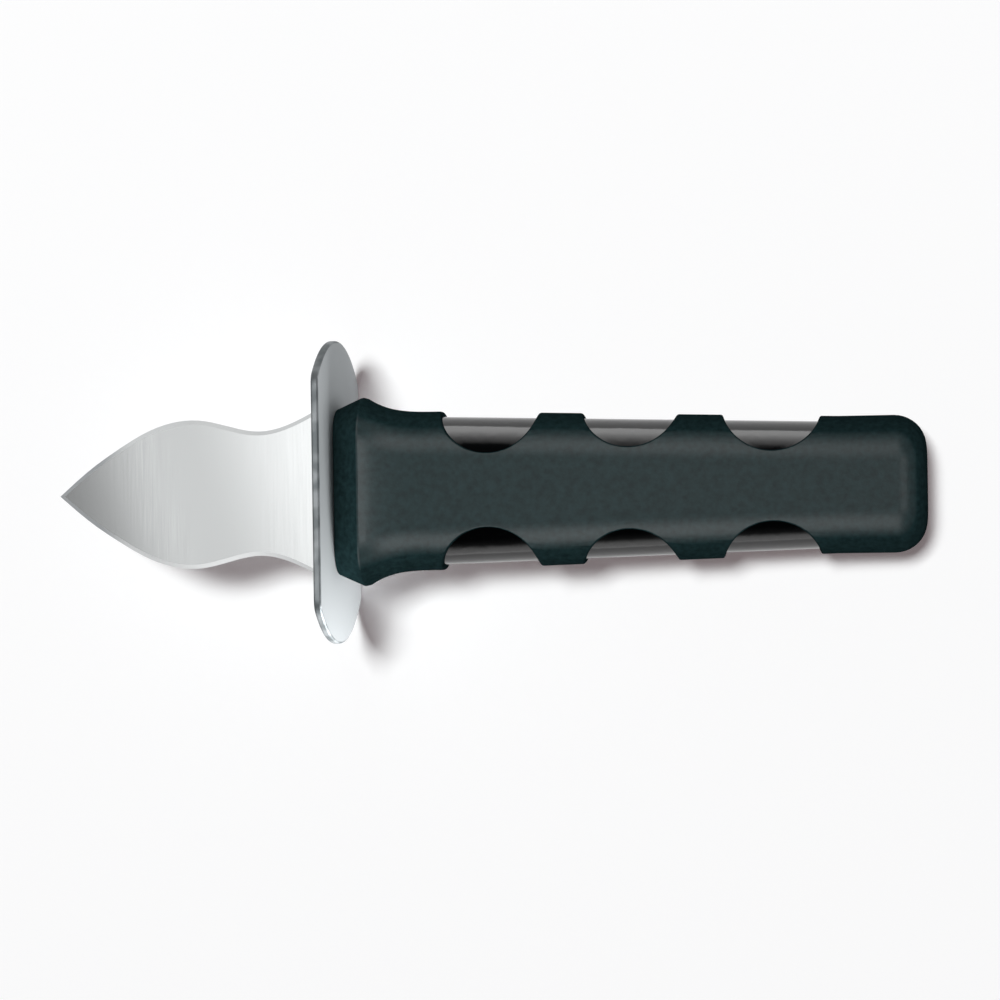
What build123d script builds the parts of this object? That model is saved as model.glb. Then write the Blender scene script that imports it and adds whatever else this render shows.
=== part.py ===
from build123d import *
import os

# Oyster knife with a hand guard: a spear-shaped steel blade whose tang runs back through a flat guard
# plate into a hard handle core, which a soft grip with finger windows is moulded over.
# Millimetres. X runs from the tip to the butt, Y across the blade and Z up from the blade's flat.
# The origin is the middle of the whole knife.

# Blade and tang
blade_length = 53.8
belly_half_width = 14.2
waist_half_width = 11.9
root_half_width = 17.5
blade_thickness = 2.2
edge_bevel = 0.8
tang_width = 16.0
tang_thickness = 1.8
tang_end_radius = 4.0
tang_hole_radius = 3.0
tang_hole_first = 16.0
tang_hole_pitch = 28.0
tang_hole_count = 2
tang_end_cover = 18.8

# Guard plate: a disc cut by two flats
guard_radius = 28.8
guard_flat_half_height = 19.6
guard_corner_radius = 3.0
guard_thickness = 1.4
guard_edge_radius = 0.4
tang_slot_clearance = 0.1

# Outside of the grip, as half widths across and half heights from the middle plane
handle_length = 109.8
collar_length = 5.2
flare_length = 14.0
tail_length = 16.1
front_half_width = 15.6
front_half_height = 7.0
front_corner_radius = 4.8
ridge_half_width = 17.9
ridge_half_height = 10.8
neck_half_width = 15.0
neck_half_height = 9.5
tail_half_width = 12.7
tail_half_height = 9.2
shoulder_radius = 8.6
ridge_radius = 0.6
butt_radius = 5.8

# Walls of the grip over the core, and the core's pads in the windows
grip_wall = 2.2
butt_wall = 3.0
pad_step_side = 1.0
pad_step_face = 1.3

# Finger windows, spread evenly on each side from the first, behind the handle's front, to the last,
# before its butt
window_radius = 9.4
window_first = 29.3
window_last = 28.1
window_depths = (7.8, 6.3, 6.6)

# Outline of one side of the blade, tip first: shares of the blade's length, and of the half width named there
nose_shares = ((0.12, 0.38), (0.22, 0.635), (0.35, 0.9))
belly_share = 0.518
waist_share = 0.74
tip_slope_share = 0.88
root_slope_share = 0.55

# The flare behind the ridge: shares of its length, and of its rise over the neck across and up
flare_shares = (
    (0.0, 1.0, 1.0),
    (0.1, 0.7, 0.58),
    (0.22, 0.46, 0.27),
    (0.4, 0.2, 0.09),
    (0.7, 0.04, 0.02),
    (1.0, 0.0, 0.0),
)

# Most that a corner may take of its section's lesser half size
corner_limit_share = 0.96

# Places along the knife
overall_length = blade_length + guard_thickness + handle_length
tip_x = -overall_length / 2
guard_front_x = tip_x + blade_length
handle_front_x = guard_front_x + guard_thickness
ridge_x = handle_front_x + collar_length
neck_x = ridge_x + flare_length
butt_x = handle_front_x + handle_length
tail_x = butt_x - tail_length
core_end_x = butt_x - butt_wall
tang_end_x = core_end_x - tang_end_cover
window_pitch = (handle_length - window_first - window_last) / (len(window_depths) - 1)
window_places = [
    (handle_front_x + window_first + i * window_pitch, depth) for i, depth in enumerate(window_depths)
]


def blade_side(side):
    """Points of one edge of the blade, from the tip to the root; side is 1 or -1."""
    nose = [
        (tip_x + along * blade_length, side * across * belly_half_width) for along, across in nose_shares
    ]
    belly = (tip_x + belly_share * blade_length, side * belly_half_width)
    waist = (tip_x + waist_share * blade_length, side * waist_half_width)
    root = (guard_front_x, side * root_half_width)
    return [(tip_x, 0), *nose, belly, waist, root]


def half_width(x):
    """Half width of the tapering grip behind its neck."""
    share = min((x - neck_x) / (tail_x - neck_x), 1)
    return neck_half_width + share * (tail_half_width - neck_half_width)


def section(x, half_across, half_up, corner_radius):
    """One rounded oblong section across the handle, its corners limited by its height."""
    limit = corner_limit_share * min(half_across, half_up)
    with BuildSketch(Plane.YZ.offset(x)) as outline:
        RectangleRounded(2 * half_across, 2 * half_up, min(corner_radius, limit))
    return outline.sketch


def collar_sections(step_side, step_face):
    """The collar's front face and its ridge, stepped in from the grip's outside."""
    front = section(
        handle_front_x,
        front_half_width - step_side,
        front_half_height - step_face,
        front_corner_radius - step_face,
    )
    ridge = section(
        ridge_x,
        ridge_half_width - step_side,
        ridge_half_height - step_face,
        shoulder_radius - step_side,
    )
    return [front, ridge]


def flare_sections(step_side, step_face):
    """The hollow curve from the ridge down to the neck, stepped in from the grip's outside."""
    return [
        section(
            ridge_x + along * flare_length,
            neck_half_width + rise_across * (ridge_half_width - neck_half_width) - step_side,
            neck_half_height + rise_up * (ridge_half_height - neck_half_height) - step_face,
            shoulder_radius - step_side,
        )
        for along, rise_across, rise_up in flare_shares
    ]


def taper_sections(step_side, step_face, end_x):
    """The long straight taper from the neck to the tail, then level to the end, stepped in likewise."""
    across = (neck_half_width, tail_half_width, tail_half_width)
    up = (neck_half_height, tail_half_height, tail_half_height)
    return [
        section(x, half_across - step_side, half_up - step_face, shoulder_radius - step_side)
        for x, half_across, half_up in zip((neck_x, tail_x, end_x), across, up)
    ]


# Blade: the outline, a bevel ground along both edges on both sides, and a thinner tang behind the
# shoulders, so that the blade's root seats on the guard all round
with BuildPart() as blade:
    with BuildSketch(Plane.XY.offset(-blade_thickness / 2)):
        with BuildLine():
            upper = Spline(
                *blade_side(1),
                tangents=[(1, tip_slope_share), (1, root_slope_share)],
            )
            lower = Spline(
                *blade_side(-1),
                tangents=[(1, -tip_slope_share), (1, -root_slope_share)],
            )
            Line(upper @ 1, lower @ 1)
        make_face()
    extrude(amount=blade_thickness)
    ground_edges = blade.edges().filter_by(GeomType.BSPLINE)
    chamfer(ground_edges, length=edge_bevel)
    with BuildSketch(Plane.XY.offset(-tang_thickness / 2)):
        with Locations(((guard_front_x + tang_end_x) / 2, 0)):
            Rectangle(tang_end_x - guard_front_x, tang_width)
    extrude(amount=tang_thickness)
    tang_end_corners = blade.edges().filter_by(Axis.Z).group_by(Axis.X)[-1]
    fillet(tang_end_corners, radius=tang_end_radius)
    with BuildSketch(Plane.XY.offset(-tang_thickness / 2)):
        for i in range(tang_hole_count):
            with Locations((handle_front_x + tang_hole_first + i * tang_hole_pitch, 0)):
                Circle(tang_hole_radius)
    extrude(amount=tang_thickness, mode=Mode.SUBTRACT)

# Guard plate: a disc with two flats, slotted for the tang, its rim rolled smooth
with BuildPart() as guard_plate:
    with BuildSketch(Plane.YZ.offset(guard_front_x)) as guard_outline:
        Circle(guard_radius)
        Rectangle(2 * guard_radius, 2 * guard_flat_half_height, mode=Mode.INTERSECT)
        fillet(guard_outline.vertices(), radius=guard_corner_radius)
    extrude(amount=guard_thickness)
    rim = guard_plate.edges().filter_by(Plane.YZ)
    fillet(rim, radius=guard_edge_radius)
    with BuildSketch(Plane.YZ.offset(guard_front_x)):
        Rectangle(tang_width + 2 * tang_slot_clearance, tang_thickness + 2 * tang_slot_clearance)
    extrude(amount=guard_thickness, mode=Mode.SUBTRACT)

# Windows: upright round cuts that reach in from each side of the grip
with BuildPart() as windows:
    with BuildSketch(Plane.XY.offset(-ridge_half_height)):
        for x, depth in window_places:
            for side in (1, -1):
                with Locations((x, side * (half_width(x) - depth + window_radius))):
                    Circle(window_radius)
    extrude(amount=2 * ridge_half_height)

# Pads: what stands in the windows, a step below the grip all round
with BuildPart() as pads:
    loft(taper_sections(pad_step_side, pad_step_face, core_end_x), ruled=True)
    add(windows.part, mode=Mode.INTERSECT)

# Core stock: the inside of the grip, with a rounded end
with BuildPart() as core_stock:
    loft(collar_sections(grip_wall, grip_wall), ruled=True)
    loft(flare_sections(grip_wall, grip_wall))
    loft(taper_sections(grip_wall, grip_wall, core_end_x), ruled=True)
    core_end = core_stock.faces().sort_by(Axis.X)[-1].edges()
    fillet(core_end, radius=butt_radius - grip_wall)

# Handle core: the stock and its pads, moulded round the tang and through the tang's holes
with BuildPart() as handle_core:
    add(core_stock.part)
    add(pads.part)
    add(blade.part, mode=Mode.SUBTRACT)

# Grip sleeve: moulded over the core, open at the front face and at the windows
with BuildPart() as grip_sleeve:
    loft(collar_sections(0, 0), ruled=True)
    loft(flare_sections(0, 0))
    loft(taper_sections(0, 0, butt_x), ruled=True)
    ridge_edges = grip_sleeve.edges().filter_by_position(Axis.X, ridge_x, ridge_x)
    fillet(ridge_edges, radius=ridge_radius)
    butt_edges = grip_sleeve.faces().sort_by(Axis.X)[-1].edges()
    fillet(butt_edges, radius=butt_radius)
    add(windows.part, mode=Mode.SUBTRACT)
    add(core_stock.part, mode=Mode.SUBTRACT)

os.makedirs("parts", exist_ok=True)

blade.part.label = "blade"
export_step(blade.part, "parts/blade.step")

guard_plate.part.label = "guard_plate"
export_step(guard_plate.part, "parts/guard_plate.step")

handle_core.part.label = "handle_core"
export_step(handle_core.part, "parts/handle_core.step")

grip_sleeve.part.label = "grip_sleeve"
export_step(grip_sleeve.part, "parts/grip_sleeve.step")
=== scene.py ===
import math

import bpy
from bpy.props import FloatProperty, FloatVectorProperty, PointerProperty
from bpy.types import Operator, Panel, PropertyGroup
from mathutils import Matrix, Vector


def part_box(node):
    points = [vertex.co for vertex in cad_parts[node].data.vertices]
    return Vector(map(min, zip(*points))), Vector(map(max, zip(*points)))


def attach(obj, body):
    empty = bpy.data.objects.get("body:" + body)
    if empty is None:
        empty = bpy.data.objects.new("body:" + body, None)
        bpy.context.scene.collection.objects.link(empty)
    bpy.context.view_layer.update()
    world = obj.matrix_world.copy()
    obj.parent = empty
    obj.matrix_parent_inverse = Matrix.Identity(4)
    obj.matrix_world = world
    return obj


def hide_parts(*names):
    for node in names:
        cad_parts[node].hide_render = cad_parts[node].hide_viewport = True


bl_info = {
    "name": "Oyster Knife",
    "version": (1, 0, 0),
    "blender": (4, 5, 0),
    "location": "3D View > Sidebar > Knife",
    "description": "Finishes the packed oyster knife and lays it on a pale studio floor",
    "category": "Object",
}

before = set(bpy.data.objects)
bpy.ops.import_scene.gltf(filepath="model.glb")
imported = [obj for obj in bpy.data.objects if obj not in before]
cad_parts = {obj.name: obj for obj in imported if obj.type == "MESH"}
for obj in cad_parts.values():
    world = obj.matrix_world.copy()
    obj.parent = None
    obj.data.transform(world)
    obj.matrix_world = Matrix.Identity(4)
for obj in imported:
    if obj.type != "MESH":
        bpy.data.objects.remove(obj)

MM = 0.001

# How finely the grip's round stretches are divided. With ten steps to a corner, no line between two steps
# comes within a lip's width of a window's innermost point, where the lip's rounding would slide along it.
CORNER_STEPS = 10
FLARE_STEPS = 14
BUTT_STEPS = 10
WINDOW_STEPS = 96
RIDGE_STEPS = 4
LIP_STEPS = 3

# Degrees by which two faces of the grip turn, over which the edge between them becomes a soft lip, and over
# which an edge that is left stays crisp
LIP_ANGLE = 45
CRISP_ANGLE = 40

# How near, in metres, a point is to a place along the knife when it stands on the ring there
RING_REACH = 0.01 * MM

# How fast the flare fades behind the ridge, across and up: powers of the share that is left of its length
FADE_ACROSS = 3.2
FADE_UP = 5.0

# How the flare's rings crowd towards the ridge, where it bends most: a power of the share of its length
RING_CROWDING = 1.5

# Upright share of a blade face's normal under which the face is a bevel or the edge
BEVEL_LEVEL = 0.9

# Values of a noise that count as its lowest and its highest, for even clouds and for patches with clear edges
CLOUD_LOW = 0.3
CLOUD_HIGH = 0.7
PATCH_LOW = 0.42
PATCH_HIGH = 0.6

# Shares by which the grip's surface has turned away from the eye where its shine starts to fade and is gone
SHINE_FADES = 0.1
SHINE_GONE = 0.27

# Shares of straight up at which the studio's walls start to give way to its ceiling and have done so
CEILING_STARTS = 0.15
CEILING_FULL = 0.4

# Places of a Mix node's colour sockets, whose names its other kinds of value share
MIX_A = 6
MIX_B = 7
MIX_RESULT = 2

# Slant of the panel over the blade, in degrees, and the spread of the flare's narrow lamp
PANEL_SLANT = 16
FLARE_SPREAD = 20

# Grades of three lamps' faces: pairs of a share of the face's side and a brightness
UPPER_SIDE_SHADES = ((0.0, 0.9), (0.18, 1.0), (0.375, 0.93), (0.58, 0.54), (0.855, 0.2), (1.0, 0.05))
LOWER_SIDE_SHADES = ((0.0, 0.95), (0.1, 0.62), (0.2, 0.36), (0.4, 0.12), (0.66, 0.04), (1.0, 0.0))
BLADE_SHADES = (
    (0.0, 0.19),
    (0.36, 0.2),
    (0.4, 0.3),
    (0.435, 0.7),
    (0.48, 0.66),
    (0.54, 0.44),
    (0.6, 0.46),
    (0.66, 0.63),
    (0.73, 0.84),
    (1.0, 0.92),
)


def linear(hex_colour):
    """A hex sRGB colour as the linear numbers that a shader takes."""
    shares = [int(hex_colour[i : i + 2], 16) / 255 for i in (1, 3, 5)]
    return [s / 12.92 if s <= 0.04045 else ((s + 0.055) / 1.055) ** 2.4 for s in shares]


def length(name, description, millimetres):
    """A property that holds a length, given in millimetres."""
    return FloatProperty(
        name=name, description=description, default=millimetres * MM, unit="LENGTH", precision=5
    )


def lengths(name, description, millimetres):
    """A property that holds three lengths, given in millimetres."""
    metres = [mm * MM for mm in millimetres]
    return FloatVectorProperty(
        name=name, description=description, default=metres, unit="LENGTH", size=3, precision=5
    )


def angle(name, description, degrees):
    """A property that holds an angle, given in degrees."""
    return FloatProperty(
        name=name, description=description, default=math.radians(degrees), subtype="ANGLE"
    )


def fraction(name, description, value):
    """A property that holds a share, from nothing to all."""
    return FloatProperty(name=name, description=description, default=value, subtype="FACTOR", min=0, max=1)


def colour(name, description, hex_colour):
    """A property that holds a colour, given as a hex sRGB value."""
    return FloatVectorProperty(
        name=name,
        description=description,
        default=linear(hex_colour),
        subtype="COLOR",
        size=3,
        min=0,
        max=1,
    )


class BladeFinish(PropertyGroup):
    """How the blade is ground, with painted shade on the bevels near its tip. Real grinding lines are too
    fine to show, so they are drawn coarser.
    """

    steel: colour("Steel", "Colour of the bare stainless steel", "#CACCCC")
    line_spacing: length("Line spacing", "Distance between grinding lines, along the knife", 0.35)
    line_length: length("Line length", "How far one grinding line runs, across the knife", 14.0)
    line_depth: length("Line depth", "Depth of a grinding line", 0.0006)
    smoothest: fraction("Least roughness", "Roughness where the grinding lines are deepest", 0.12)
    roughest: fraction("Most roughness", "Roughness between the grinding lines", 0.16)
    # Painted shade: the bevels near the tip take a darker steel colour, fading out over this length from the
    # tip
    tip_length: length("Tip length", "How far from the tip the bevels are duller", 15.0)
    painted_tip_shade: colour("Tip steel", "Colour of the duller bevels", "#979A9C")


class GuardFinish(PropertyGroup):
    """How the guard plate is finished, with painted shade on its rim. A blasted grain is too fine to show, so
    it is drawn coarser.
    """

    steel: colour("Steel", "Colour of the blasted stainless steel", "#ADB1B3")
    grit: length("Grit", "Size of the satin finish's grain", 0.5)
    grit_depth: length("Grit depth", "Depth of the satin finish", 0.004)
    roughness: fraction("Roughness", "Roughness of the blasted faces", 0.72)
    # Painted shade: the rim band's two colours are darker than the faces' steel, mixed in random patches
    rim: length("Rim", "Width of the band at the plate's edge that rolling has burnished", 0.5)
    rim_roughness: fraction("Rim roughness", "Roughness of the burnished rim", 0.6)
    shaded_rim_pale: colour("Rolled steel", "Colour of the rim's lighter patches", "#8C9092")
    shaded_rim_dark: colour("Scuffed steel", "Colour of the rim's darker patches", "#6A6F71")
    patch: length("Patch", "Size of the burnished patches along the rim", 4.0)


class CoreFinish(PropertyGroup):
    """How the handle core is moulded."""

    plastic: colour("Plastic", "Colour of the hard black plastic", "#0B0C0D")
    roughness: fraction("Roughness", "Roughness that the mould's polish leaves", 0.12)
    refraction: FloatProperty(name="Refraction", description="Refractive index", default=1.55, min=1)
    ripple: length("Ripple", "Width of the faint waves that moulding leaves", 7.0)
    ripple_depth: length("Ripple depth", "Depth of those waves", 0.004)


class GripShape(PropertyGroup):
    """The outside of the grip sleeve, its wall and its windows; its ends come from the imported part."""

    collar_length: length("Collar length", "From the grip's front to its ridge", 5.2)
    flare_length: length("Flare length", "From the ridge to the neck", 14.0)
    tail_length: length("Tail length", "The level stretch and the butt, behind the taper", 16.1)
    front_half_width: length("Front half width", "Half the front's size across", 15.6)
    front_half_height: length("Front half height", "Half the front's size up", 7.0)
    front_corner: length("Front corner", "Corner radius of the front", 4.8)
    ridge_half_width: length("Ridge half width", "Half the ridge's size across", 17.9)
    ridge_half_height: length("Ridge half height", "Half the ridge's size up", 10.8)
    neck_half_width: length("Neck half width", "Half the neck's size across", 15.0)
    neck_half_height: length("Neck half height", "Half the neck's size up", 9.5)
    tail_half_width: length("Tail half width", "Half the tail's size across", 12.7)
    tail_half_height: length("Tail half height", "Half the tail's size up", 9.2)
    shoulder: length("Shoulder", "Corner radius from the ridge to the butt", 8.6)
    ridge_round: length("Ridge round", "How far the ridge is rounded to each side", 0.28)
    butt_round: length("Butt round", "Radius of the butt's edge", 5.8)
    wall: length("Wall", "Thickness of the grip over the core", 2.2)
    butt_wall: length("Butt wall", "Thickness of the grip behind the core", 3.0)
    window_radius: length("Window radius", "Radius of the cut that makes a finger window", 9.4)
    window_first: length("First window", "From the grip's front to the middle of the first window", 29.3)
    window_last: length("Last window", "From the middle of the last window to the butt", 28.1)
    window_depths: lengths("Window depths", "How far each window reaches in from the side", (7.8, 6.3, 6.6))
    lip_round: length("Lip round", "Softness of the windows' lips and of the front edge", 0.3)


class GripFinish(PropertyGroup):
    """How the grip sleeve is moulded. The real grain is too fine to show, so it is drawn coarser."""

    rubber: colour("Rubber", "Colour of the soft grip", "#213436")
    mottle: length("Mottle", "Size of the cloudy patches in the colour", 1.1)
    mottle_depth: fraction("Mottle depth", "How much darker and lighter the cloudy patches are", 0.25)
    grain: length("Grain", "Size of the mould's spark-eroded grain", 0.42)
    grain_depth: length("Grain depth", "Depth of that grain", 0.02)
    roughness: fraction("Roughness", "Roughness of the matte rubber", 0.42)
    shine: fraction("Shine", "How strongly the rubber shines where it faces the eye", 0.5)


class StageSettings(PropertyGroup):
    """Where the camera stands, and how the floor and the studio look."""

    camera_distance: length("Camera distance", "From the camera to what it looks at", 400.0)
    camera_tilt: angle("Camera tilt", "Tilt of the view from the blade's normal towards the grip", 7.125)
    camera_roll: angle("Camera roll", "Turn of the picture about the view", -0.857)
    camera_lens: FloatProperty(name="Lens", description="Focal length", default=76.235, unit="CAMERA")
    aim_along: length("Aim along", "What the camera looks at, along the knife from its middle", 3.28)
    aim_across: length("Aim across", "What the camera looks at, across the knife from its axis", -1.91)
    floor_size: length("Floor size", "Side of the square floor", 8000.0)
    floor: colour("Floor", "Colour of the floor's paper", "#EDF1F1")
    floor_glow: colour("Floor glow", "Light that comes through the paper, which fills its shadows", "#766C6D")
    floor_bounce: colour("Floor bounce", "Colour of the light that the floor sends back up", "#6E6E6E")
    walls: colour("Walls", "Colour of the studio's walls, as they are seen", "#FFFFFF")
    fill: colour("Fill", "Colour of the dim light that the walls give", "#4A4C4E")
    ceiling: colour("Ceiling", "Colour of the studio's dark ceiling", "#14171A")


def add_node(tree, kind, inputs=None, **options):
    """Adds a node, sets its options, and gives each input a value or a link from another node's socket."""
    node = tree.nodes.new(kind)
    for name, value in options.items():
        setattr(node, name, value)
    for name, value in (inputs or {}).items():
        if isinstance(value, bpy.types.NodeSocket):
            tree.links.new(value, node.inputs[name])
        else:
            node.inputs[name].default_value = value
    return node


def new_material(name):
    """A new material and its empty node tree."""
    material = bpy.data.materials.new(name)
    material.use_nodes = True
    material.node_tree.nodes.clear()
    return material, material.node_tree


def wear_material(obj, material):
    """Gives every face of the object this material."""
    obj.data.materials.clear()
    obj.data.materials.append(material)


def object_place(tree, scale):
    """The point on the surface in the object's own metres, scaled along each axis."""
    place = add_node(tree, "ShaderNodeTexCoord")
    mapping = add_node(tree, "ShaderNodeMapping", {"Vector": place.outputs["Object"], "Scale": scale})
    return mapping.outputs["Vector"]


def solid_colour(rgb):
    """A colour property as the four numbers that a socket takes."""
    return (*rgb, 1.0)


def tip_shade_share(tree, tip_length):
    """Where painted shade darkens the blade: one on the bevels at its tip, fading along the tip's length, and
    zero on the flat.
    """
    tip_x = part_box("blade")[0].x
    place = add_node(tree, "ShaderNodeTexCoord")
    spot = add_node(tree, "ShaderNodeSeparateXYZ", {"Vector": place.outputs["Object"]})
    facing = add_node(tree, "ShaderNodeSeparateXYZ", {"Vector": place.outputs["Normal"]})
    level = add_node(tree, "ShaderNodeMath", {0: facing.outputs["Z"]}, operation="ABSOLUTE")
    compared = {0: level.outputs["Value"], 1: BEVEL_LEVEL}
    bevel = add_node(tree, "ShaderNodeMath", compared, operation="LESS_THAN")
    near = add_node(
        tree,
        "ShaderNodeMapRange",
        {
            "Value": spot.outputs["X"],
            "From Min": tip_x + tip_length / 2,
            "From Max": tip_x + tip_length,
            "To Min": 1.0,
            "To Max": 0.0,
        },
        interpolation_type="SMOOTHSTEP",
    )
    both = {0: bevel.outputs["Value"], 1: near.outputs["Result"]}
    share = add_node(tree, "ShaderNodeMath", both, operation="MULTIPLY")
    return share.outputs["Value"]


def ground_stainless(finish):
    """Ground stainless steel: very fine lines across the blade, which blur its reflections along it, and
    painted shade on the bevels near the tip.
    """
    material, tree = new_material("ground_stainless_steel")
    # Painted shade: the bevels near the tip take the darker steel colour
    steel_and_painted_shade = add_node(
        tree,
        "ShaderNodeMix",
        {
            "Factor": tip_shade_share(tree, finish.tip_length),
            MIX_A: solid_colour(finish.steel),
            MIX_B: solid_colour(finish.painted_tip_shade),
        },
        data_type="RGBA",
    )
    place = object_place(tree, (1 / finish.line_spacing, 1 / finish.line_length, 1 / finish.line_length))
    lines = add_node(tree, "ShaderNodeTexNoise", {"Vector": place, "Scale": 1.0, "Detail": 3.0})
    roughness = add_node(
        tree,
        "ShaderNodeMapRange",
        {
            "Value": lines.outputs["Fac"],
            "From Min": CLOUD_LOW,
            "From Max": CLOUD_HIGH,
            "To Min": finish.smoothest,
            "To Max": finish.roughest,
        },
    )
    depth = {"Height": lines.outputs["Fac"], "Strength": 1.0, "Distance": finish.line_depth}
    bump = add_node(tree, "ShaderNodeBump", depth)
    steel = add_node(
        tree,
        "ShaderNodeBsdfPrincipled",
        {
            "Base Color": steel_and_painted_shade.outputs[MIX_RESULT],
            "Metallic": 1.0,
            "Roughness": roughness.outputs["Result"],
            "Normal": bump.outputs["Normal"],
        },
    )
    add_node(tree, "ShaderNodeOutputMaterial", {"Surface": steel.outputs["BSDF"]})
    return material


def rim_share(tree, rim):
    """One on the guard's rim, where painted shade falls, and zero on its faces, by how near the surface is to
    the plate's outline.
    """
    _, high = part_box("guard_plate")
    place = add_node(tree, "ShaderNodeTexCoord")
    split = add_node(tree, "ShaderNodeSeparateXYZ", {"Vector": place.outputs["Object"]})
    across = add_node(tree, "ShaderNodeCombineXYZ", {"Y": split.outputs["Y"], "Z": split.outputs["Z"]})
    radius = add_node(tree, "ShaderNodeVectorMath", {0: across.outputs["Vector"]}, operation="LENGTH")
    from_round = {0: high.y, 1: radius.outputs["Value"]}
    to_round = add_node(tree, "ShaderNodeMath", from_round, operation="SUBTRACT")
    up = add_node(tree, "ShaderNodeMath", {0: split.outputs["Z"]}, operation="ABSOLUTE")
    from_flat = {0: high.z, 1: up.outputs["Value"]}
    to_flat = add_node(tree, "ShaderNodeMath", from_flat, operation="SUBTRACT")
    either = {0: to_round.outputs["Value"], 1: to_flat.outputs["Value"]}
    to_edge = add_node(tree, "ShaderNodeMath", either, operation="MINIMUM")
    share = add_node(
        tree,
        "ShaderNodeMapRange",
        {
            "Value": to_edge.outputs["Value"],
            "From Min": rim / 2,
            "From Max": rim,
            "To Min": 1.0,
            "To Max": 0.0,
        },
        interpolation_type="SMOOTHSTEP",
    )
    return share.outputs["Result"]


def satin_stainless(finish):
    """Satin stainless steel: a blasted grain that greys every reflection, and a rim burnished in patches and
    darkened by painted shade.
    """
    material, tree = new_material("satin_stainless_steel")
    on_rim = rim_share(tree, finish.rim)
    place = object_place(tree, (1 / finish.grit,) * 3)
    grit = add_node(tree, "ShaderNodeTexNoise", {"Vector": place, "Scale": 1.0, "Detail": 2.0})
    depth = {"Height": grit.outputs["Fac"], "Strength": 1.0, "Distance": finish.grit_depth}
    bump = add_node(tree, "ShaderNodeBump", depth)
    patch_place = object_place(tree, (1 / finish.patch,) * 3)
    patches = add_node(tree, "ShaderNodeTexNoise", {"Vector": patch_place, "Scale": 1.0, "Detail": 1.0})
    patch_edges = {"Value": patches.outputs["Fac"], "From Min": PATCH_LOW, "From Max": PATCH_HIGH}
    patch_share = add_node(tree, "ShaderNodeMapRange", patch_edges)
    # Painted shade: the rim's random patches take colours darker than the faces' steel
    shaded_rim_patches = add_node(
        tree,
        "ShaderNodeMix",
        {
            "Factor": patch_share.outputs["Result"],
            MIX_A: solid_colour(finish.shaded_rim_dark),
            MIX_B: solid_colour(finish.shaded_rim_pale),
        },
        data_type="RGBA",
    )
    steel_and_painted_shade = add_node(
        tree,
        "ShaderNodeMix",
        {"Factor": on_rim, MIX_A: solid_colour(finish.steel), MIX_B: shaded_rim_patches.outputs[MIX_RESULT]},
        data_type="RGBA",
    )
    roughness = add_node(
        tree,
        "ShaderNodeMapRange",
        {"Value": on_rim, "To Min": finish.roughness, "To Max": finish.rim_roughness},
    )
    steel = add_node(
        tree,
        "ShaderNodeBsdfPrincipled",
        {
            "Base Color": steel_and_painted_shade.outputs[MIX_RESULT],
            "Metallic": 1.0,
            "Roughness": roughness.outputs["Result"],
            "Normal": bump.outputs["Normal"],
        },
    )
    add_node(tree, "ShaderNodeOutputMaterial", {"Surface": steel.outputs["BSDF"]})
    return material


def moulded_polypropylene(finish):
    """Polypropylene from a polished mould: black and glossy, with faint waves."""
    material, tree = new_material("moulded_polypropylene")
    place = object_place(tree, (1 / finish.ripple,) * 3)
    ripple = add_node(tree, "ShaderNodeTexNoise", {"Vector": place, "Scale": 1.0, "Detail": 1.0})
    depth = {"Height": ripple.outputs["Fac"], "Strength": 1.0, "Distance": finish.ripple_depth}
    bump = add_node(tree, "ShaderNodeBump", depth)
    plastic = add_node(
        tree,
        "ShaderNodeBsdfPrincipled",
        {
            "Base Color": solid_colour(finish.plastic),
            "Roughness": finish.roughness,
            "IOR": finish.refraction,
            "Normal": bump.outputs["Normal"],
        },
    )
    add_node(tree, "ShaderNodeOutputMaterial", {"Surface": plastic.outputs["BSDF"]})
    return material


def moulded_rubber(finish):
    """Rubber from a spark-eroded mould: dark and matte, with a grain that hides its shine from aside."""
    material, tree = new_material("moulded_thermoplastic_rubber")
    cloud_place = object_place(tree, (1 / finish.mottle,) * 3)
    cloud = add_node(tree, "ShaderNodeTexNoise", {"Vector": cloud_place, "Scale": 1.0, "Detail": 4.0})
    shade = add_node(
        tree,
        "ShaderNodeMapRange",
        {
            "Value": cloud.outputs["Fac"],
            "From Min": CLOUD_LOW,
            "From Max": CLOUD_HIGH,
            "To Min": 1 - finish.mottle_depth,
            "To Max": 1 + finish.mottle_depth,
        },
    )
    shaded = {"Vector": tuple(finish.rubber), "Scale": shade.outputs["Result"]}
    rubber_colour = add_node(tree, "ShaderNodeVectorMath", shaded, operation="SCALE")
    grain_place = object_place(tree, (1 / finish.grain,) * 3)
    grain = add_node(tree, "ShaderNodeTexNoise", {"Vector": grain_place, "Scale": 1.0, "Detail": 3.0})
    depth = {"Height": grain.outputs["Fac"], "Strength": 1.0, "Distance": finish.grain_depth}
    bump = add_node(tree, "ShaderNodeBump", depth)
    turned = add_node(tree, "ShaderNodeLayerWeight", {"Blend": 0.5})
    shine = add_node(
        tree,
        "ShaderNodeMapRange",
        {
            "Value": turned.outputs["Facing"],
            "From Min": SHINE_FADES,
            "From Max": SHINE_GONE,
            "To Min": finish.shine,
            "To Max": 0.0,
        },
        interpolation_type="SMOOTHSTEP",
    )
    rubber = add_node(
        tree,
        "ShaderNodeBsdfPrincipled",
        {
            "Base Color": rubber_colour.outputs["Vector"],
            "Roughness": finish.roughness,
            "Specular IOR Level": shine.outputs["Result"],
            "Normal": bump.outputs["Normal"],
        },
    )
    add_node(tree, "ShaderNodeOutputMaterial", {"Surface": rubber.outputs["BSDF"]})
    return material


def ridge_x(shape):
    """Where the collar ends and the flare starts."""
    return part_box("grip_sleeve")[0].x + shape.collar_length


def neck_x(shape):
    """Where the flare ends and the taper starts."""
    return ridge_x(shape) + shape.flare_length


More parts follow.
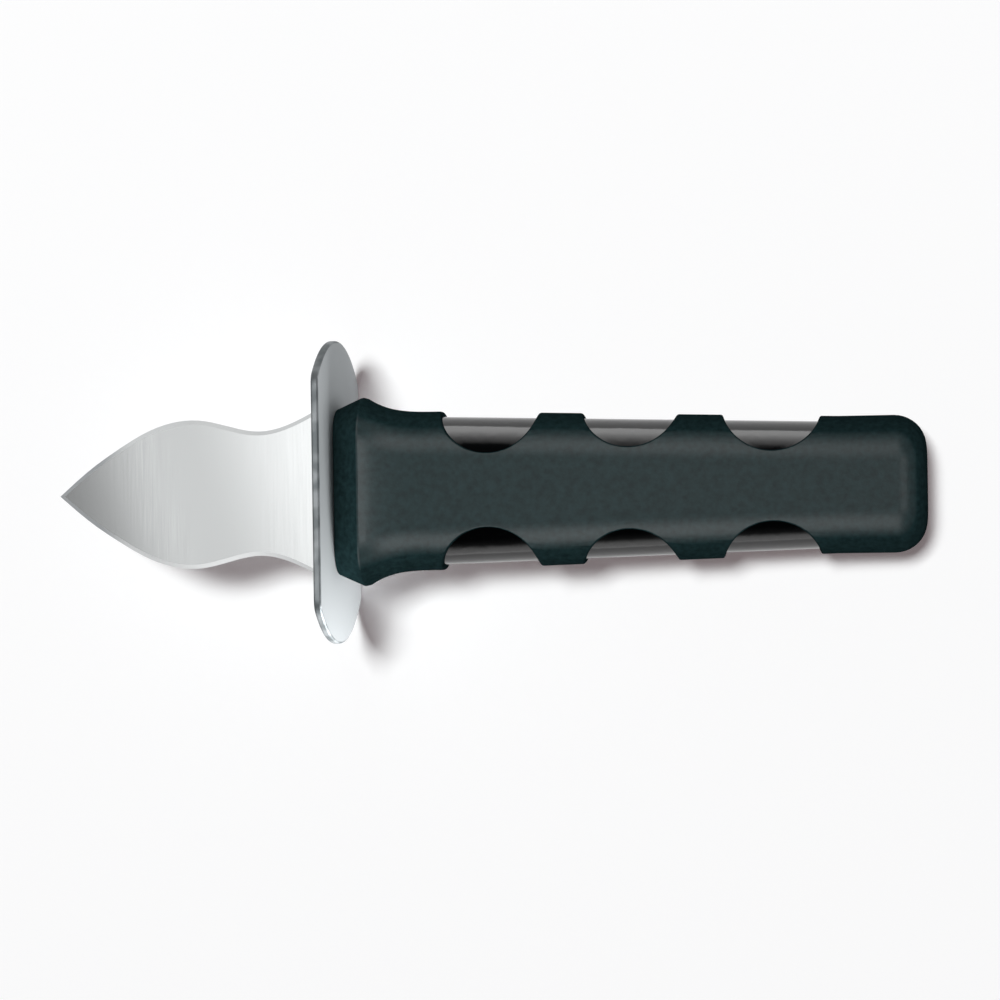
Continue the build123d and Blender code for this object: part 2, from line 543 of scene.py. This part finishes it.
def tail_x(shape):
    """Where the taper ends."""
    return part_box("grip_sleeve")[1].x - shape.tail_length


def taper_sizes(shape, x):
    """Half width and half height of the grip at a place between its neck and its tail."""
    share = (x - neck_x(shape)) / (tail_x(shape) - neck_x(shape))
    half_width = shape.neck_half_width + share * (shape.tail_half_width - shape.neck_half_width)
    half_height = shape.neck_half_height + share * (shape.tail_half_height - shape.neck_half_height)
    return half_width, half_height


def window_centres(shape):
    """Where the windows stand along the knife."""
    front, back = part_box("grip_sleeve")
    count = len(shape.window_depths)
    pitch = (back.x - front.x - shape.window_first - shape.window_last) / (count - 1)
    return [front.x + shape.window_first + i * pitch for i in range(count)]


def grip_rings(shape, end_x, end_round):
    """The grip's rings from its front to its end: place, half width, half height and corner radius."""
    front_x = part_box("grip_sleeve")[0].x
    rings = [(front_x, shape.front_half_width, shape.front_half_height, shape.front_corner)]
    for step in range(FLARE_STEPS):
        along = (step / FLARE_STEPS) ** RING_CROWDING
        across, up = (1 - along) ** FADE_ACROSS, (1 - along) ** FADE_UP
        x = ridge_x(shape) + along * shape.flare_length
        half_width = shape.neck_half_width + across * (shape.ridge_half_width - shape.neck_half_width)
        half_height = shape.neck_half_height + up * (shape.ridge_half_height - shape.neck_half_height)
        rings.append((x, half_width, half_height, shape.shoulder))
    centres = window_centres(shape)
    between = [(a + b) / 2 for a, b in zip(centres, centres[1:])]
    for x in sorted([neck_x(shape), *centres, *between, tail_x(shape)]):
        rings.append((x, *taper_sizes(shape, x), shape.shoulder))
    for step in range(BUTT_STEPS + 1):
        turn = math.pi / 2 * step / BUTT_STEPS
        drawn_in = end_round * (1 - math.cos(turn))
        x = end_x - end_round * (1 - math.sin(turn))
        half_width = shape.tail_half_width - drawn_in
        half_height = shape.tail_half_height - drawn_in
        rings.append((x, half_width, half_height, shape.shoulder - drawn_in))
    return rings


def choose_rings(piece, *places):
    """Selects the rings of edges that stand at some places along the knife, and goes to edit mode."""
    bpy.ops.object.mode_set(mode="OBJECT")
    mesh = piece.data
    chosen = [any(abs(vert.co.x - place) < RING_REACH for place in places) for vert in mesh.vertices]
    for face in mesh.polygons:
        face.select = False
    for edge in mesh.edges:
        a, b = edge.vertices
        level = abs(mesh.vertices[a].co.x - mesh.vertices[b].co.x) < RING_REACH
        edge.select = chosen[a] and chosen[b] and level
    for vert, choice in zip(mesh.vertices, chosen):
        vert.select = choice
    bpy.ops.object.mode_set(mode="EDIT")
    bpy.ops.mesh.select_mode(type="EDGE")


def grip_skin(name, rings, step_in, inside):
    """A skin stretched over the rings, each drawn in by one step, open at the front and closed at the end."""
    bpy.ops.object.select_all(action="DESELECT")
    bpy.ops.mesh.primitive_plane_add(enter_editmode=True)
    bpy.ops.mesh.delete(type="VERT")
    for x, half_width, half_height, corner in rings:
        bpy.ops.mesh.select_all(action="DESELECT")
        bpy.ops.mesh.primitive_plane_add(size=2, location=(x, 0, 0), rotation=(0, math.pi / 2, 0))
        half_sizes = (1, half_width - step_in, half_height - step_in)
        bpy.ops.transform.resize(value=half_sizes, center_override=(x, 0, 0))
        bpy.ops.mesh.bevel(offset=corner - step_in, segments=CORNER_STEPS, affect="VERTICES")
        bpy.ops.mesh.delete(type="ONLY_FACE")
    piece = bpy.context.object
    piece.name = name
    places = [ring[0] for ring in rings]
    for place, following in zip(places, places[1:]):
        choose_rings(piece, place, following)
        bpy.ops.mesh.bridge_edge_loops()
    choose_rings(piece, places[-1])
    bpy.ops.mesh.edge_face_add()
    bpy.ops.mesh.select_all(action="SELECT")
    bpy.ops.mesh.normals_make_consistent(inside=inside)
    bpy.ops.object.mode_set(mode="OBJECT")
    return piece


def joined(pieces):
    """Joins some pieces into the first of them."""
    bpy.ops.object.select_all(action="DESELECT")
    for piece in pieces:
        piece.select_set(True)
    bpy.context.view_layer.objects.active = pieces[0]
    bpy.ops.object.join()
    return pieces[0]


def applied(piece, kind, **settings):
    """Adds a modifier with its settings and applies it."""
    modifier = piece.modifiers.new(kind.lower(), kind)
    for name, value in settings.items():
        setattr(modifier, name, value)
    bpy.context.view_layer.objects.active = piece
    bpy.ops.object.modifier_apply(modifier=modifier.name)


def grip_shell(shape):
    """An outer and an inner skin of the grip, joined round the front."""
    front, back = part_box("grip_sleeve")
    outer_rings = grip_rings(shape, back.x, shape.butt_round)
    outside = grip_skin("grip_cover", outer_rings, step_in=0, inside=False)
    choose_rings(outside, ridge_x(shape))
    bpy.ops.mesh.bevel(offset=shape.ridge_round, segments=RIDGE_STEPS, affect="EDGES")
    bpy.ops.object.mode_set(mode="OBJECT")
    inner_rings = grip_rings(shape, back.x - shape.butt_wall, shape.butt_round - shape.wall)
    inside = grip_skin("grip_inside", inner_rings, step_in=shape.wall, inside=True)
    shell = joined([outside, inside])
    choose_rings(shell, front.x)
    bpy.ops.mesh.bridge_edge_loops()
    bpy.ops.object.mode_set(mode="OBJECT")
    return shell


def window_cutter(shape):
    """Six upright round cutters, three along each side, whose edges reach as far in as the windows do."""
    front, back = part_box("grip_sleeve")
    cutters = []
    for x, depth in zip(window_centres(shape), shape.window_depths):
        half_width, _ = taper_sizes(shape, x)
        for side in (1, -1):
            y = side * (half_width - depth + shape.window_radius)
            bpy.ops.mesh.primitive_cylinder_add(
                vertices=WINDOW_STEPS,
                radius=shape.window_radius,
                depth=2 * (back.z - front.z),
                location=(x, y, 0),
            )
            cutters.append(bpy.context.object)
    return joined(cutters)


def cut_windows(cover, shape):
    """Cuts the windows, and merges what the cut leaves closer together than a lip can be rounded."""
    cutter = window_cutter(shape)
    applied(cover, "BOOLEAN", object=cutter, operation="DIFFERENCE", solver="EXACT")
    bpy.data.objects.remove(cutter)
    bpy.ops.object.select_all(action="DESELECT")
    cover.select_set(True)
    bpy.ops.object.mode_set(mode="EDIT")
    bpy.ops.mesh.select_all(action="SELECT")
    bpy.ops.mesh.remove_doubles(threshold=shape.lip_round / 4)
    bpy.ops.object.mode_set(mode="OBJECT")


def soften_lips(cover, shape):
    """Rounds the windows' lips and the front edge, as soft rubber leaves a mould, and smooths the rest."""
    applied(
        cover,
        "BEVEL",
        width=shape.lip_round,
        segments=LIP_STEPS,
        limit_method="ANGLE",
        angle_limit=math.radians(LIP_ANGLE),
        use_clamp_overlap=False,
    )
    bpy.ops.object.shade_smooth_by_angle(angle=math.radians(CRISP_ANGLE))
    applied(cover, "WEIGHTED_NORMAL", keep_sharp=True)


def model_grip(shape):
    """The soft sleeve over the core, with its windows."""
    cover = grip_shell(shape)
    cut_windows(cover, shape)
    soften_lips(cover, shape)
    return cover


def seen_directly(tree):
    """One where the camera, a reflection or glass sees the surface, zero where its light only bounces."""
    path = add_node(tree, "ShaderNodeLightPath")
    looks = {0: path.outputs["Is Camera Ray"], 1: path.outputs["Is Glossy Ray"]}
    either = add_node(tree, "ShaderNodeMath", looks, operation="MAXIMUM")
    all_looks = {0: either.outputs["Value"], 1: path.outputs["Is Transmission Ray"]}
    seen = add_node(tree, "ShaderNodeMath", all_looks, operation="MAXIMUM")
    return seen.outputs["Value"]


def pale_floor(stage):
    """White paper, lit from above and a little from below; its bounced light is held back."""
    material, tree = new_material("white_paper")
    seen = seen_directly(tree)
    paper_colour = add_node(
        tree,
        "ShaderNodeMix",
        {"Factor": seen, MIX_A: solid_colour(stage.floor_bounce), MIX_B: solid_colour(stage.floor)},
        data_type="RGBA",
    )
    paper = add_node(tree, "ShaderNodeBsdfDiffuse", {"Color": paper_colour.outputs[MIX_RESULT]})
    glow = add_node(tree, "ShaderNodeEmission", {"Color": solid_colour(stage.floor_glow), "Strength": seen})
    both = add_node(tree, "ShaderNodeAddShader", {0: paper.outputs["BSDF"], 1: glow.outputs["Emission"]})
    add_node(tree, "ShaderNodeOutputMaterial", {"Surface": both.outputs["Shader"]})
    return material


def studio_walls(stage):
    """A world that the camera sees white, whose walls give a dim light and whose ceiling is dark."""
    world = bpy.data.worlds.new("studio_walls")
    world.use_nodes = True
    tree = world.node_tree
    tree.nodes.clear()
    place = add_node(tree, "ShaderNodeTexCoord")
    split = add_node(tree, "ShaderNodeSeparateXYZ", {"Vector": place.outputs["Generated"]})
    ceiling_share = add_node(
        tree,
        "ShaderNodeMapRange",
        {"Value": split.outputs["Z"], "From Min": CEILING_STARTS, "From Max": CEILING_FULL},
        interpolation_type="SMOOTHSTEP",
    )
    wall = add_node(
        tree,
        "ShaderNodeMix",
        {"Factor": seen_directly(tree), MIX_A: solid_colour(stage.fill), MIX_B: solid_colour(stage.walls)},
        data_type="RGBA",
    )
    room = add_node(
        tree,
        "ShaderNodeMix",
        {
            "Factor": ceiling_share.outputs["Result"],
            MIX_A: wall.outputs[MIX_RESULT],
            MIX_B: solid_colour(stage.ceiling),
        },
        data_type="RGBA",
    )
    path = add_node(tree, "ShaderNodeLightPath")
    seen = add_node(
        tree,
        "ShaderNodeMix",
        {
            "Factor": path.outputs["Is Camera Ray"],
            MIX_A: room.outputs[MIX_RESULT],
            MIX_B: solid_colour(stage.walls),
        },
        data_type="RGBA",
    )
    walls = add_node(tree, "ShaderNodeBackground", {"Color": seen.outputs[MIX_RESULT], "Strength": 1.0})
    add_node(tree, "ShaderNodeOutputWorld", {"Surface": walls.outputs["Background"]})
    bpy.context.scene.world = world


def floor_line():
    """A point under the guard, and the slope of the flat surface that guard and grip both rest on."""
    guard = [vert.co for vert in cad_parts["guard_plate"].data.vertices]
    grip = [vert.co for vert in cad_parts["grip_sleeve"].data.vertices]
    lowest = min(guard, key=lambda co: co.z)
    slopes = [math.atan2(co.z - lowest.z, co.x - lowest.x) for co in grip]
    return Vector((lowest.x, 0, lowest.z)), min(slopes)


def lay_floor(stage):
    """The floor that the knife lies on, level with its guard's edge and its butt."""
    foot, slope = floor_line()
    bpy.ops.object.select_all(action="DESELECT")
    bpy.ops.mesh.primitive_plane_add(size=stage.floor_size, location=foot, rotation=(0, -slope, 0))
    floor = bpy.context.object
    floor.name = "floor"
    bpy.ops.object.transform_apply(location=True, rotation=True, scale=True)
    wear_material(floor, pale_floor(stage))
    return floor


def lit_group(name, piece, state):
    """What a lamp lights: one piece alone, or with EXCLUDE all but that piece."""
    group = bpy.data.collections.new(name)
    group.objects.link(piece)
    group.collection_objects[0].light_linking.link_state = state
    return group


def aimed(eye, target):
    """The matrix of a lamp at one point that looks at another."""
    return Matrix.Translation(eye) @ (target - eye).to_track_quat("-Z", "Y").to_matrix().to_4x4()


def hang_lamp(name, lit, eye, aim, size, brightness):
    """A soft lamp; its brightness is that of its face, where a white wall lit plainly is one."""
    width, depth = size
    data = bpy.data.lights.new(name, "AREA")
    data.shape = "RECTANGLE"
    data.size = width
    data.size_y = depth
    data.energy = brightness * math.pi * width * depth
    lamp = bpy.data.objects.new(name, data)
    bpy.context.scene.collection.objects.link(lamp)
    lamp.matrix_world = aimed(Vector(eye), Vector(aim))
    lamp.visible_camera = False
    lamp.light_linking.receiver_collection = lit
    return lamp


def grade_lamp(lamp, way, shades):
    """Grades a lamp's face along its X or Y, by pairs of a share of that side and a brightness."""
    lamp.data.use_nodes = True
    tree = lamp.data.node_tree
    tree.nodes.clear()
    face = add_node(tree, "ShaderNodeNewGeometry")
    split = add_node(tree, "ShaderNodeSeparateXYZ", {"Vector": face.outputs["Parametric"]})
    grade = add_node(tree, "ShaderNodeFloatCurve", {"Value": split.outputs[way]})
    curve = grade.mapping.curves[0]
    for share, shade in shades[1:-1]:
        curve.points.new(share, shade)
    curve.points[0].location = shades[0]
    curve.points[-1].location = shades[-1]
    grade.mapping.update()
    glow = add_node(tree, "ShaderNodeEmission", {"Strength": grade.outputs["Value"]})
    add_node(tree, "ShaderNodeOutputLight", {"Surface": glow.outputs["Emission"]})


def hang_lamps(floor):
    """The studio's soft lamps, in metres; most light one piece, whose reflections they give."""
    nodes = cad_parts
    onto_floor = lit_group("lit_floor", floor, "INCLUDE")
    off_floor = lit_group("lit_knife", floor, "EXCLUDE")
    onto_blade = lit_group("lit_blade", nodes["blade"], "INCLUDE")
    onto_guard = lit_group("lit_guard", nodes["guard_plate"], "INCLUDE")
    onto_core = lit_group("lit_core", nodes["handle_core"], "INCLUDE")
    onto_grip = lit_group("lit_grip", bpy.data.objects["grip_cover"], "INCLUDE")

    # The floor with the knife's shadow, and a plain light on the whole knife
    hang_lamp("floor_lamp", onto_floor, eye=(-0.5, 0.6, 3.0), aim=(0, 0, 0), size=(0.7, 0.7), brightness=59.0)
    hang_lamp("top_lamp", off_floor, eye=(0.4, 0.0, 0.69), aim=(0, 0, 0), size=(0.3, 0.3), brightness=1.8)

    # The sheen along the grip's two shoulders and in its flare
    hang_lamp(
        "upper_shoulder_lamp",
        onto_grip,
        eye=(-0.03, 0.42, 0.66),
        aim=(0, 0, 0),
        size=(0.5, 0.5),
        brightness=2.4,
    )
    hang_lamp(
        "lower_shoulder_lamp",
        onto_grip,
        eye=(-0.03, -0.49, 0.61),
        aim=(0, 0, 0),
        size=(0.5, 0.5),
        brightness=3.0,
    )
    flare_lamp = hang_lamp(
        "flare_lamp",
        onto_grip,
        eye=(0.3, 0.0, 0.55),
        aim=(-0.05, 0, 0.01),
        size=(0.3, 0.14),
        brightness=0.16,
    )
    flare_lamp.data.spread = math.radians(FLARE_SPREAD)

    # The graded reflections on the core's pads, on both sides
    upper_side_lamp = hang_lamp(
        "upper_side_lamp",
        onto_core,
        eye=(0.0, 0.155, 0.08),
        aim=(0, 0, 0.08),
        size=(0.3, 0.2),
        brightness=2.8,
    )
    grade_lamp(upper_side_lamp, "Y", UPPER_SIDE_SHADES)
    lower_side_lamp = hang_lamp(
        "lower_side_lamp",
        onto_core,
        eye=(0.0, -0.155, 0.06),
        aim=(0, 0, 0.06),
        size=(0.3, 0.16),
        brightness=1.25,
    )
    grade_lamp(lower_side_lamp, "Y", LOWER_SIDE_SHADES)

    # The pale lower wing of the guard's rear face, and its rim
    hang_lamp(
        "guard_lamp",
        onto_guard,
        eye=(0.005, -0.07, 0.004),
        aim=(-0.028, -0.02, 0),
        size=(0.05, 0.03),
        brightness=32.0,
    )
    hang_lamp(
        "rim_lamp",
        onto_guard,
        eye=(-0.135, 0.0, 0.5),
        aim=(-0.028, 0, 0),
        size=(0.2, 0.3),
        brightness=9.0,
    )

    # Dim walls all round, so that the blade isn't black from aside, then its lower bevel and its flat
    blade_x = -0.055
    for degrees in (45, 135, 225, 315):
        turn = math.radians(degrees)
        hang_lamp(
            f"blade_wall_{degrees}",
            onto_blade,
            eye=(math.cos(turn) + blade_x, math.sin(turn), 0.7),
            aim=(blade_x, 0, 0),
            size=(1.5, 0.5),
            brightness=0.6,
        )
    hang_lamp(
        "lower_bevel_lamp",
        onto_blade,
        eye=(-0.16, -0.5, 0.02),
        aim=(-0.16, 0, 0.02),
        size=(0.8, 0.2),
        brightness=0.35,
    )
    blade_panel = hang_lamp(
        "blade_panel",
        onto_blade,
        eye=(-0.2, 0.0, 0.5),
        aim=(-0.2, 0, 0),
        size=(0.22, 0.16),
        brightness=2.0,
    )
    slant = Matrix.Rotation(math.radians(PANEL_SLANT), 4, "Z")
    blade_panel.matrix_world = blade_panel.matrix_world @ slant
    grade_lamp(blade_panel, "X", BLADE_SHADES)


def place_camera(stage):
    """The camera at the photograph's place."""
    tilt, roll = stage.camera_tilt, stage.camera_roll
    back = Vector((math.sin(tilt), 0, math.cos(tilt)))
    along = Vector((math.cos(tilt), 0, -math.sin(tilt)))
    across = Vector((0, 1, 0))
    right = along * math.cos(roll) + across * math.sin(roll)
    up = across * math.cos(roll) - along * math.sin(roll)
    data = bpy.data.cameras.new("camera")
    data.lens = stage.camera_lens
    data.clip_start = stage.camera_distance / 100
    camera = bpy.data.objects.new("camera", data)
    bpy.context.scene.collection.objects.link(camera)
    aim = Vector((stage.aim_along, stage.aim_across, 0))
    turn = Matrix((right, up, back)).transposed().to_4x4()
    camera.matrix_world = Matrix.Translation(aim + back * stage.camera_distance) @ turn
    bpy.context.scene.camera = camera


class KNIFE_OT_blade(Operator):
    """Finish the blade and its tang"""

    bl_idname = "knife.blade"
    bl_label = "Blade"

    def execute(self, context):
        wear_material(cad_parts["blade"], ground_stainless(context.scene.knife_blade))
        return {"FINISHED"}


class KNIFE_OT_guard(Operator):
    """Finish the guard plate"""

    bl_idname = "knife.guard"
    bl_label = "Guard plate"

    def execute(self, context):
        wear_material(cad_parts["guard_plate"], satin_stainless(context.scene.knife_guard))
        return {"FINISHED"}


class KNIFE_OT_core(Operator):
    """Finish the handle core"""

    bl_idname = "knife.core"
    bl_label = "Handle core"

    def execute(self, context):
        wear_material(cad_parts["handle_core"], moulded_polypropylene(context.scene.knife_core))
        return {"FINISHED"}


class KNIFE_OT_grip(Operator):
    """Model and finish the grip sleeve"""

    bl_idname = "knife.grip"
    bl_label = "Grip sleeve"

    def execute(self, context):
        cover = model_grip(context.scene.knife_grip_shape)
        wear_material(cover, moulded_rubber(context.scene.knife_grip))
        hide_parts("grip_sleeve")
        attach(cover, "root")
        return {"FINISHED"}


class KNIFE_OT_stage(Operator):
    """Lay the floor, hang the lamps and place the camera"""

    bl_idname = "knife.stage"
    bl_label = "Stage"

    def execute(self, context):
        stage = context.scene.knife_stage
        context.scene.view_settings.view_transform = "Standard"
        studio_walls(stage)
        floor = lay_floor(stage)
        hang_lamps(floor)
        place_camera(stage)
        return {"FINISHED"}


class KNIFE_PT_panel(Panel):
    """Lists the knife's pieces and their settings"""

    bl_idname = "KNIFE_PT_panel"
    bl_label = "Oyster Knife"
    bl_space_type = "VIEW_3D"
    bl_region_type = "UI"
    bl_category = "Knife"

    def draw(self, context):
        for kind, holders in SECTIONS:
            box = self.layout.box()
            box.operator(kind.bl_idname)
            for holder in holders:
                settings = getattr(context.scene, holder)
                for name in settings.__annotations__:
                    box.prop(settings, name)


# Each operator in the panel, with the settings that are listed under it
SECTIONS = (
    (KNIFE_OT_blade, ["knife_blade"]),
    (KNIFE_OT_guard, ["knife_guard"]),
    (KNIFE_OT_core, ["knife_core"]),
    (KNIFE_OT_grip, ["knife_grip_shape", "knife_grip"]),
    (KNIFE_OT_stage, ["knife_stage"]),
)

# What the scene calls each group of settings
HOLDERS = {
    "knife_blade": BladeFinish,
    "knife_guard": GuardFinish,
    "knife_core": CoreFinish,
    "knife_grip_shape": GripShape,
    "knife_grip": GripFinish,
    "knife_stage": StageSettings,
}


def register():
    """Makes the settings, the operators and the panel known to Blender."""
    for holder, kind in HOLDERS.items():
        bpy.utils.register_class(kind)
        setattr(bpy.types.Scene, holder, PointerProperty(type=kind))
    for kind, _ in SECTIONS:
        bpy.utils.register_class(kind)
    bpy.utils.register_class(KNIFE_PT_panel)


def unregister():
    """Takes them away again."""
    bpy.utils.unregister_class(KNIFE_PT_panel)
    for kind, _ in reversed(SECTIONS):
        bpy.utils.unregister_class(kind)
    for holder, kind in reversed(HOLDERS.items()):
        delattr(bpy.types.Scene, holder)
        bpy.utils.unregister_class(kind)


def main():
    """Builds the looks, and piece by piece."""
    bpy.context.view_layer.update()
    register()
    bpy.ops.knife.blade()
    bpy.ops.knife.guard()
    bpy.ops.knife.core()
    bpy.ops.knife.grip()
    bpy.ops.knife.stage()


if __name__ == "__main__":
    main()
